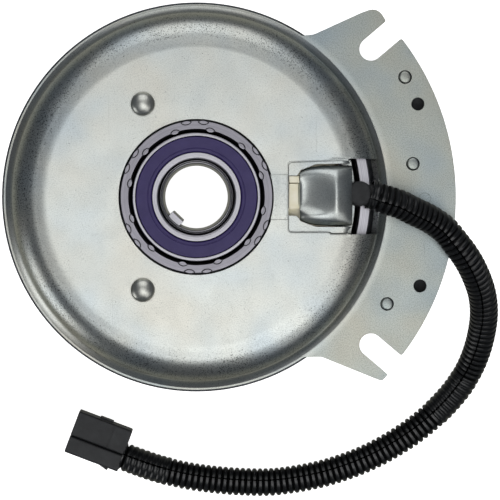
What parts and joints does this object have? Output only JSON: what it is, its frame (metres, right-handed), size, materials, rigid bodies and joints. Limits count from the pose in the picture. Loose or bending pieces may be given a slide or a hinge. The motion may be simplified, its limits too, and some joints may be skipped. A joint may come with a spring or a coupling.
{
  "type": "electromagnetic clutch",
  "caption": "Electromagnetic clutch and brake: stamped field housing with slotted flange, keyed hub in a sealed bearing, belt pulley and wire loom with plug.",
  "frame": {"origin": "on the crankshaft axis, at the plane of the pulley's outer face, which the clutch lies on", "axes": "+Z along the crankshaft axis towards the engine side, +X towards the lead window and the fan-shaped flange, +Y across"},
  "size_m": [0.2207, 0.2227, 0.0767],
  "materials": {
    "zinc_plated_steel": "bright zinc plate over stamped steel",
    "bearing_steel": "ground and turned steel",
    "bare_steel": "dark ground steel",
    "cast_iron": "phosphated cast iron",
    "violet_seal": "moulded nitrile rubber seal",
    "black_rubber": "moulded rubber",
    "cream_nylon": "natural moulded nylon",
    "coil_wire": "enamelled copper winding",
    "ferrite": "sintered ferrite",
    "loom_plastic": "corrugated polyethylene conduit",
    "connector_plastic": "moulded glass-filled nylon",
    "tinned_brass": "tinned terminals",
    "lead_insulation": "extruded wire insulation"
  },
  "bodies": {
    "field": {"field_housing": "zinc_plated_steel", "bearing_carrier": "zinc_plated_steel", "field_core": "zinc_plated_steel", "coil_bobbin": "cream_nylon", "coil_winding": "coil_wire", "coil_lead_1": "lead_insulation", "coil_lead_2": "lead_insulation", "lead_grommet": "black_rubber", "housing_rivet_1": "zinc_plated_steel", "housing_rivet_2": "zinc_plated_steel", "field_bearing_outer_race": "bearing_steel", "field_bearing_seal_lower": "violet_seal", "field_bearing_seal_upper": "violet_seal", "brake_plate": "zinc_plated_steel", "brake_pole_1": "bare_steel", "brake_pole_2": "bare_steel", "brake_magnet_1": "ferrite", "brake_magnet_2": "ferrite", "brake_spacer_1": "bearing_steel", "brake_spacer_2": "bearing_steel", "brake_spacer_3": "bearing_steel", "brake_bolt_1": "zinc_plated_steel", "brake_bolt_2": "zinc_plated_steel", "brake_bolt_3": "zinc_plated_steel", "wire_loom": "loom_plastic", "connector_housing": "connector_plastic", "connector_lock": "connector_plastic", "connector_terminal_1": "tinned_brass", "connector_terminal_2": "tinned_brass"},
    "field_bearing_rollers": {"field_bearing_balls_1": "bearing_steel", "field_bearing_balls_2": "bearing_steel"},
    "rotor": {"rotor_hub": "bearing_steel", "rotor_disc": "zinc_plated_steel", "field_bearing_inner_race": "bearing_steel", "pulley_bearing_inner_race": "bearing_steel", "hub_spacer": "bearing_steel", "hub_snap_ring": "bare_steel"},
    "pulley_bearing_rollers": {"pulley_bearing_balls_1": "bearing_steel"},
    "pulley": {"pulley": "cast_iron", "pulley_bearing_outer_race": "bearing_steel", "pulley_bearing_seal_lower": "black_rubber", "pulley_bearing_seal_upper": "black_rubber", "pulley_snap_ring": "bare_steel", "leaf_spring_1": "bearing_steel", "leaf_spring_2": "bearing_steel", "leaf_spring_3": "bearing_steel", "pulley_rivet_1": "zinc_plated_steel", "pulley_rivet_2": "zinc_plated_steel", "pulley_rivet_3": "zinc_plated_steel"},
    "armature": {"armature_disc": "bare_steel", "armature_rivet_1": "zinc_plated_steel", "armature_rivet_2": "zinc_plated_steel", "armature_rivet_3": "zinc_plated_steel"}
  },
  "joints": [
    {"name": "rotor_spin", "type": "hinge", "parent": "field", "child": "rotor", "pos_m": [0, 0, 0], "axis": [0, 0, 1], "continuous": true},
    {"name": "field_bearing_roll", "type": "hinge", "parent": "field", "child": "field_bearing_rollers", "pos_m": [0, 0, 0], "axis": [0, 0, 1], "continuous": true},
    {"name": "pulley_spin", "type": "hinge", "parent": "rotor", "child": "pulley", "pos_m": [0, 0, 0], "axis": [0, 0, 1], "continuous": true},
    {"name": "pulley_bearing_roll", "type": "hinge", "parent": "rotor", "child": "pulley_bearing_rollers", "pos_m": [0, 0, 0], "axis": [0, 0, 1], "continuous": true},
    {"name": "armature_engage", "type": "slide", "parent": "pulley", "child": "armature", "axis": [0, 0, 1], "range_m": [0, 0.00035], "stiffness_N_per_m": 20000, "deforming": ["leaf_spring_1", "leaf_spring_2", "leaf_spring_3"]}
  ],
  "couplings": [
    {"joint": "field_bearing_roll", "follows": "rotor_spin", "ratio": 0.4133},
    {"joint": "pulley_bearing_roll", "follows": "pulley_spin", "ratio": 0.5799}
  ]
}
